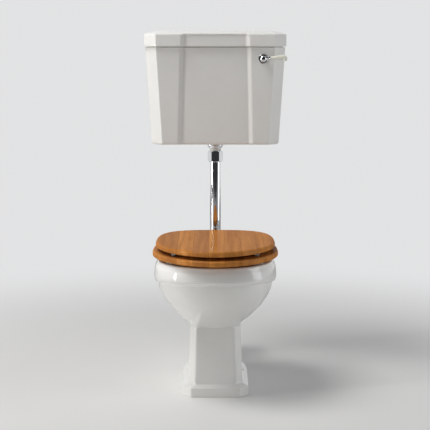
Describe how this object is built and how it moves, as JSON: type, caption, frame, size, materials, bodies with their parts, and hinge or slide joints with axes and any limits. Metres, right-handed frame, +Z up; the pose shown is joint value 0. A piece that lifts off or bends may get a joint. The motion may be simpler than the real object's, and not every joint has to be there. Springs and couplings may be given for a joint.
{
  "type": "low-level toilet suite",
  "caption": "Low-level toilet: pedestal pan with wooden seat and lid, flush pipe, and a wall-hung cistern flushed by a side lever through a siphon.",
  "frame": {"origin": "on the floor, midway between the two floor-screw holes in the pan's foot", "axes": "+Z up, +Y towards the wall, +X to the right as seen by someone facing the suite"},
  "size_m": [0.448, 0.692, 1.08],
  "materials": {
    "glazed_china": "glossy white vitreous china glaze",
    "oak": "satin lacquered oak with its grain running front to back",
    "chrome": "bright polished plate",
    "cream_ceramic": "glossy cream glaze",
    "black_rubber": "matt moulded rubber",
    "white_plastic": "moulded, soft gloss",
    "clear_buffer": "pale translucent soft rubber",
    "brass": "turned brass, lightly tarnished",
    "float_plastic": "matt moulded"
  },
  "bodies": {
    "suite": {"pan_bowl": "glazed_china", "pan_trap": "glazed_china", "pan_pedestal": "glazed_china", "tank": "glazed_china", "flush_pipe": "chrome", "flush_pipe_nut": "chrome", "flush_pipe_olive": "black_rubber", "flush_cone": "black_rubber", "outlet_backnut": "chrome", "outlet_washer": "black_rubber", "soil_connector": "white_plastic", "connector_seal": "black_rubber", "hinge_pillars": "chrome", "hinge_rod": "chrome", "hinge_rod_caps": "chrome", "hinge_studs": "chrome", "hinge_washers": "black_rubber", "hinge_wing_nuts": "brass", "lever_flange": "chrome", "lever_flange_nut": "brass", "siphon_body": "white_plastic", "siphon_seal": "black_rubber", "fill_valve_body": "brass", "fill_valve_washer": "black_rubber", "fill_valve_backnut": "brass", "fill_valve_pivot": "brass"},
    "cistern_lid": {"tank_lid": "glazed_china"},
    "seat": {"seat_ring": "oak", "ring_hinge_leaves": "chrome", "ring_hinge_screws": "chrome", "seat_buffers": "clear_buffer"},
    "cover": {"seat_lid": "oak", "lid_hinge_leaves": "chrome", "lid_hinge_screws": "chrome", "lid_buffers": "clear_buffer"},
    "lever": {"lever_boss": "chrome", "lever_grip": "cream_ceramic", "lever_spindle": "brass", "lever_crank": "brass", "crank_screw": "brass"},
    "lift": {"lift_link": "brass", "lift_rod": "chrome", "siphon_piston": "white_plastic", "siphon_diaphragm": "black_rubber"},
    "float": {"float_arm": "brass", "float_ball": "float_plastic", "float_nut": "brass"},
    "valve_plug": {"valve_piston": "brass", "valve_seal": "black_rubber"}
  },
  "joints": [
    {"name": "seat_raise", "type": "hinge", "parent": "suite", "child": "seat", "pos_m": [0, 0.1075, 0.4307], "axis": [1, 0, 0], "range_deg": [-92, 0]},
    {"name": "cover_raise", "type": "hinge", "parent": "seat", "child": "cover", "pos_m": [0, 0.1075, 0.4307], "axis": [-1, 0, 0], "range_deg": [0, 92]},
    {"name": "flush_lever", "type": "hinge", "parent": "suite", "child": "lever", "pos_m": [0.1495, 0.1308, 0.99], "axis": [0, 1, 0], "range_deg": [0, 30]},
    {"name": "siphon_lift", "type": "slide", "parent": "suite", "child": "lift", "axis": [0, 0, 1], "range_m": [0, 0.03849]},
    {"name": "float_swing", "type": "hinge", "parent": "suite", "child": "float", "pos_m": [-0.141, 0.27, 0.947], "axis": [0, -1, 0], "range_deg": [0, 32]},
    {"name": "valve_slide", "type": "slide", "parent": "suite", "child": "valve_plug", "axis": [-1, 0, 0], "range_m": [0, 0.00883]},
    {"name": "cistern_lid_lift", "type": "slide", "parent": "suite", "child": "cistern_lid", "axis": [0, 0, 1], "range_m": [0, 0.12]}
  ],
  "couplings": [
    {"joint": "siphon_lift", "follows": "flush_lever", "m_per_rad": 0.0735},
    {"joint": "valve_slide", "follows": "float_swing", "m_per_rad": 0.015793}
  ]
}
